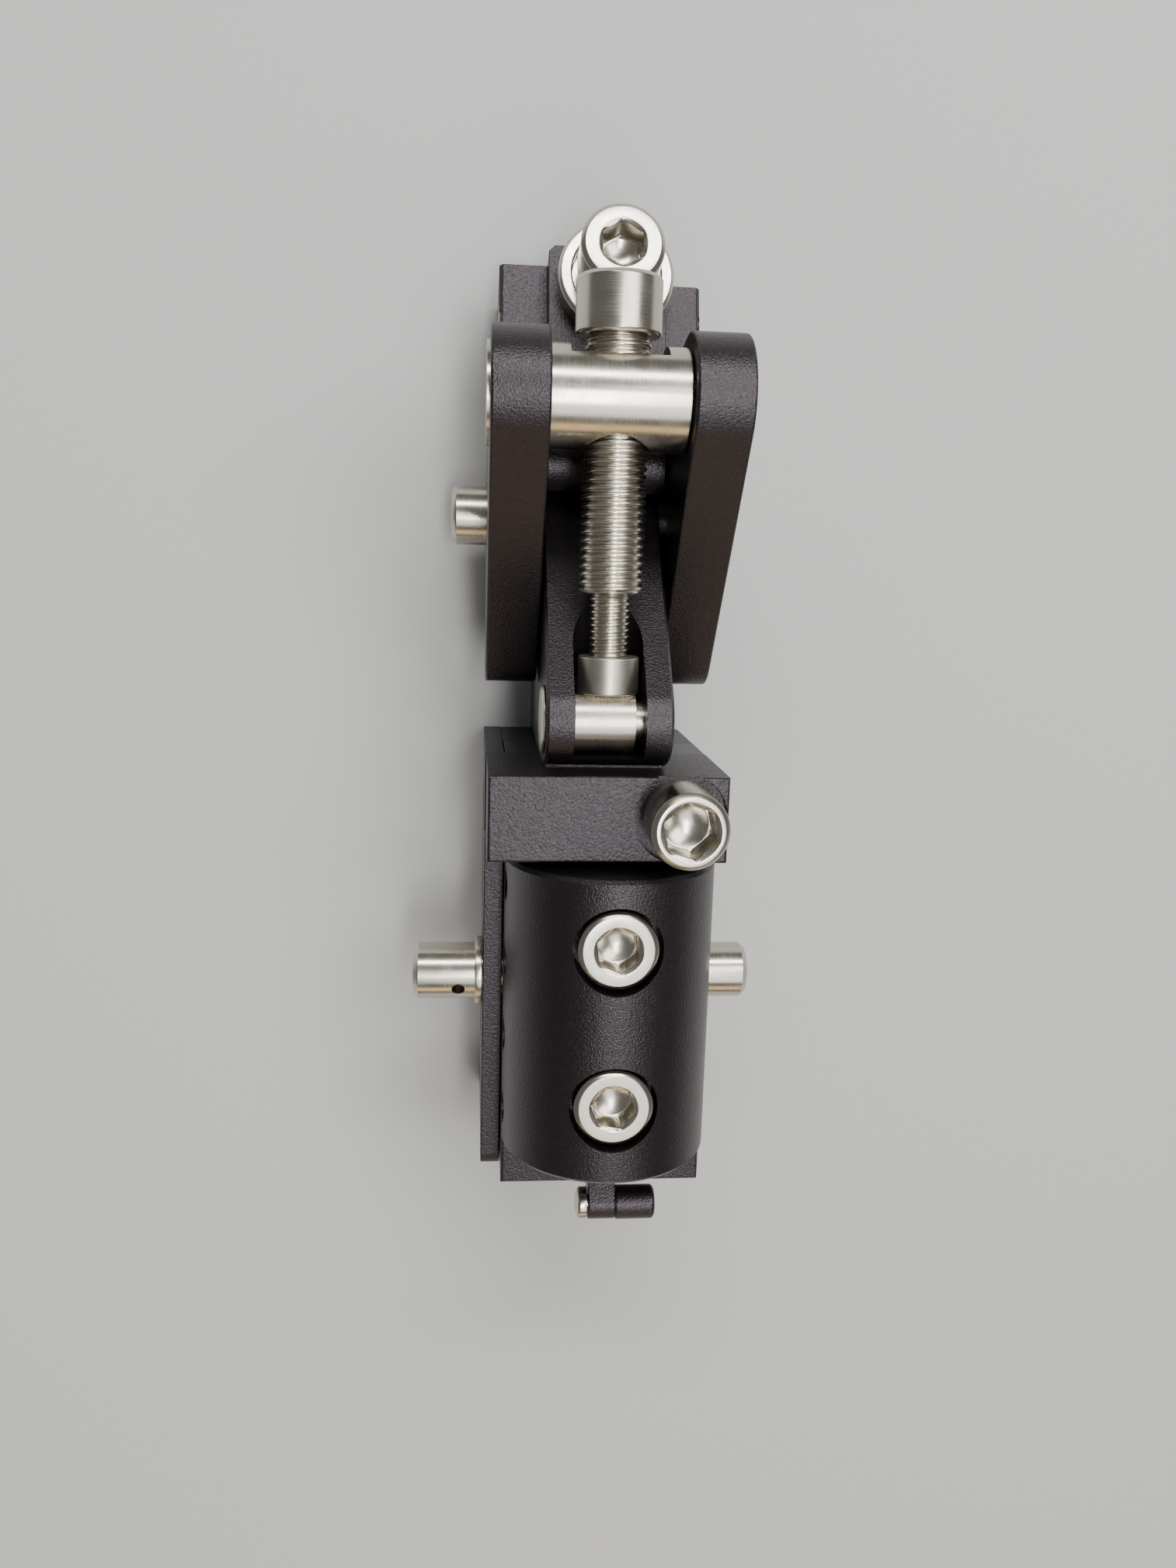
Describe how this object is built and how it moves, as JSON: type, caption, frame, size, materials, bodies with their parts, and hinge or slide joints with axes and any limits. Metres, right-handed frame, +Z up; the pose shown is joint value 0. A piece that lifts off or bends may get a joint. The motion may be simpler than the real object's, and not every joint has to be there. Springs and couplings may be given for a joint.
{
  "type": "adjustable swivel clamp",
  "caption": "Pin clamp with a bolted barrel cover, hinged to a dovetail rail carriage; a screw between trunnions sets the angle.",
  "frame": {"origin": "on the rest face, below the middle of the cross pin", "axes": "+Z up out of the clamp cover, +Y from the clamp to the carriage, +X to the lock screw's side, along the hinge pins"},
  "size_m": [0.0464, 0.1338, 0.0488],
  "materials": {
    "black_anodised": "satin black anodised",
    "black_blasted": "bead-blasted black anodised",
    "stainless_turned": "turned stainless steel"
  },
  "bodies": {
    "clamp_frame": {"frame_body": "black_blasted", "side_plate": "black_blasted", "cross_block": "black_blasted", "block_dowels": "stainless_turned", "clamp_base": "black_anodised", "cross_pin_washer": "stainless_turned", "end_lug": "black_anodised", "base_screws": "stainless_turned", "link_screws": "stainless_turned", "side_plate_screws": "stainless_turned", "clevis_link": "black_anodised"},
    "cover": {"clamp_cover": "black_anodised"},
    "cover_bolt_upper": {"cover_bolt_upper": "stainless_turned"},
    "cover_bolt_lower": {"cover_bolt_lower": "stainless_turned"},
    "lock_washer": {"lock_screw_washer": "stainless_turned"},
    "lock_screw": {"lock_screw": "stainless_turned"},
    "cross_pin": {"cross_pin": "stainless_turned"},
    "end_knob": {"lug_knob": "black_anodised", "lug_pin": "stainless_turned"},
    "lower_trunnion": {"lower_trunnion": "stainless_turned", "trunnion_cap": "stainless_turned"},
    "adjusting_screw": {"adjusting_screw": "stainless_turned", "thrust_collar": "stainless_turned", "screw_retainer": "stainless_turned"},
    "carriage": {"carriage_body": "black_anodised", "left_rail_jaw": "black_anodised", "right_rail_jaw": "black_anodised", "left_cheek": "black_anodised", "right_cheek": "black_anodised", "hinge_pin": "stainless_turned", "flange_ring": "stainless_turned", "cheek_screws": "stainless_turned", "jaw_screws": "stainless_turned"},
    "upper_trunnion": {"upper_trunnion": "stainless_turned"},
    "pressure_shoe": {"pressure_shoe": "stainless_turned"},
    "rail_bolt": {"rail_bolt": "stainless_turned"}
  },
  "joints": [
    {"name": "lower_trunnion_turn", "type": "hinge", "parent": "clamp_frame", "child": "lower_trunnion", "pos_m": [-0.0004, 0.03725, 0.0355], "axis": [1, 0, 0], "range_deg": [-1.9, 3]},
    {"name": "adjusting_screw_turn", "type": "hinge", "parent": "lower_trunnion", "child": "adjusting_screw", "pos_m": [-0.0004, 0.06225, 0.0355], "axis": [0, 1, 0], "range_deg": [-792, 1368]},
    {"name": "swivel", "type": "hinge", "parent": "clamp_frame", "child": "carriage", "pos_m": [-0.0004, 0.06225, 0.0105], "axis": [1, 0, 0], "range_deg": [-5.2, 8.8]},
    {"name": "upper_trunnion_turn", "type": "hinge", "parent": "carriage", "child": "upper_trunnion", "pos_m": [-0.0004, 0.07575, 0.0355], "axis": [1, 0, 0], "range_deg": [-6, 3.6]},
    {"name": "pressure_shoe_slide", "type": "slide", "parent": "carriage", "child": "pressure_shoe", "axis": [0, -0.2756, -0.9613], "range_m": [0, 0.0012]},
    {"name": "rail_bolt_turn", "type": "hinge", "parent": "pressure_shoe", "child": "rail_bolt", "pos_m": [0.0008, 0.09347, 0.02142], "axis": [0, -0.2756, -0.9613], "range_deg": [0, 433]},
    {"name": "cover_lift", "type": "slide", "parent": "clamp_frame", "child": "cover", "axis": [0, 0, 1], "range_m": [0, 0.002]},
    {"name": "cover_bolt_upper_turn", "type": "hinge", "parent": "cover", "child": "cover_bolt_upper", "pos_m": [0.001, 0.01025, 0.0392], "axis": [0, 0, 1], "range_deg": [0, 721]},
    {"name": "cover_bolt_lower_turn", "type": "hinge", "parent": "cover", "child": "cover_bolt_lower", "pos_m": [0.001, -0.01025, 0.0392], "axis": [0, 0, 1], "range_deg": [0, 721]},
    {"name": "lock_washer_lift", "type": "slide", "parent": "clamp_frame", "child": "lock_washer", "axis": [0, 0, 1], "range_m": [0, 0.002]},
    {"name": "lock_screw_turn", "type": "hinge", "parent": "lock_washer", "child": "lock_screw", "pos_m": [0.0086, 0.026, 0.0408], "axis": [0, 0, 1], "range_deg": [0, 721]},
    {"name": "cross_pin_turn", "type": "hinge", "parent": "clamp_frame", "child": "cross_pin", "pos_m": [0, 0, 0.0225], "axis": [1, 0, 0], "continuous": true},
    {"name": "end_knob_turn", "type": "hinge", "parent": "clamp_frame", "child": "end_knob", "pos_m": [0.0013, -0.0313, 0.0304], "axis": [1, 0, 0], "continuous": true}
  ],
  "couplings": [
    {"joint": "swivel", "follows": "adjusting_screw_turn", "ratio": 0.0063662},
    {"joint": "upper_trunnion_turn", "follows": "adjusting_screw_turn", "ratio": -0.0042017},
    {"joint": "lower_trunnion_turn", "follows": "adjusting_screw_turn", "ratio": 0.0021645},
    {"joint": "rail_bolt_turn", "follows": "pressure_shoe_slide", "rad_per_m": 6283.2},
    {"joint": "cover_bolt_upper_turn", "follows": "cover_lift", "rad_per_m": 6283.2},
    {"joint": "cover_bolt_lower_turn", "follows": "cover_lift", "rad_per_m": 6283.2},
    {"joint": "lock_screw_turn", "follows": "lock_washer_lift", "rad_per_m": 6283.2}
  ]
}
